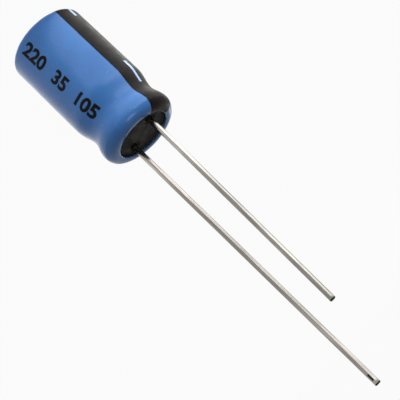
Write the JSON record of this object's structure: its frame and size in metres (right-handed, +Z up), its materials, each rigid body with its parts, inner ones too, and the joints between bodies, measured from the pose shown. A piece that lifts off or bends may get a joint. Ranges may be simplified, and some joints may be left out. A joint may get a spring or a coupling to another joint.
{
  "type": "electrolytic capacitor",
  "caption": "Radial aluminium electrolytic capacitor: sleeved can with a rolled groove, polarity stripe, rubber bung and two tinned leads, standing on its closed end.",
  "frame": {"origin": "on the can's axis, in the plane of the sleeved rim that seats on a board, midway between the two leads", "axes": "+Z up, along the leads towards their ends, the body below at negative Z; +X from the negative lead towards the positive lead"},
  "size_m": [0.0082, 0.0082, 0.0457],
  "materials": {
    "sleeve_plastic": "blue shrunk PVC, semi-gloss",
    "stripe_ink": "black print on the sleeve, semi-gloss",
    "can_aluminium": "deep-drawn, satin",
    "bung_rubber": "moulded black rubber, matt",
    "tinned_wire": "tin plate, drawn lengthwise",
    "tab_aluminium": "pressed wire, satin",
    "etched_foil": "etched and oxidised, matt grey",
    "plain_foil": "lightly etched, satin",
    "separator_paper": "capacitor tissue, soaked",
    "tape_paper": "paper tape"
  },
  "bodies": {
    "root": {"sleeve": "sleeve_plastic", "polarity_stripe": "stripe_ink", "can": "can_aluminium", "rubber_bung": "bung_rubber", "positive_lead": "tinned_wire", "negative_lead": "tinned_wire", "anode_tab": "tab_aluminium", "cathode_tab": "tab_aluminium", "anode_foil": "etched_foil", "cathode_foil": "plain_foil", "inner_separator": "separator_paper", "outer_separator": "separator_paper", "closing_tape": "tape_paper"}
  },
  "joints": []
}
